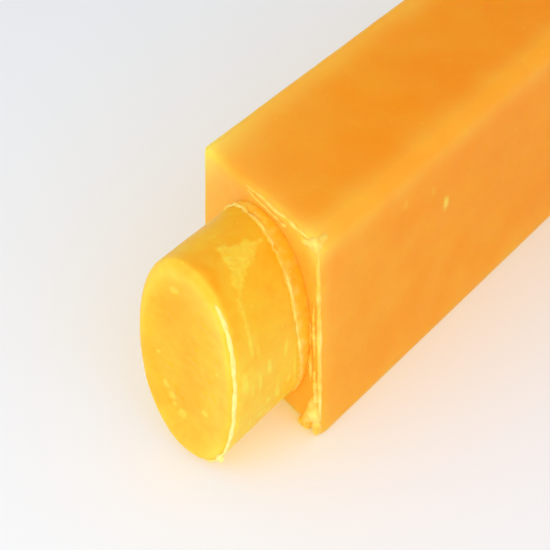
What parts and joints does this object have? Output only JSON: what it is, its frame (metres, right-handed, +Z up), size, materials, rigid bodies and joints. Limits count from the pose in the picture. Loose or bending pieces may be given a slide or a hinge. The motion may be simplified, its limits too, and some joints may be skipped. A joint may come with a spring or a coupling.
{
  "type": "clay bar",
  "caption": "Long translucent amber block, wider at its base, with an oval stub plugged into its near end and raised flash at the joint, rim and end edges.",
  "frame": {"origin": "middle of the block's underside, on the surface the bar rests on", "axes": "+Y along the block, away from the stub; +Z up; +X to the side that the near end's cut reaches furthest forward on"},
  "size_m": [0.0318, 0.1404, 0.042],
  "materials": {
    "amber": "satin",
    "yellow_amber": "satin",
    "pale_amber": "satin"
  },
  "bodies": {
    "root": {"bar_block": "amber", "stub_plug": "yellow_amber", "root_flash": "pale_amber", "rim_flash": "pale_amber", "end_edge_flash": "pale_amber", "side_edge_flash": "pale_amber", "corner_drip": "pale_amber", "foot_drip": "pale_amber"}
  },
  "joints": []
}
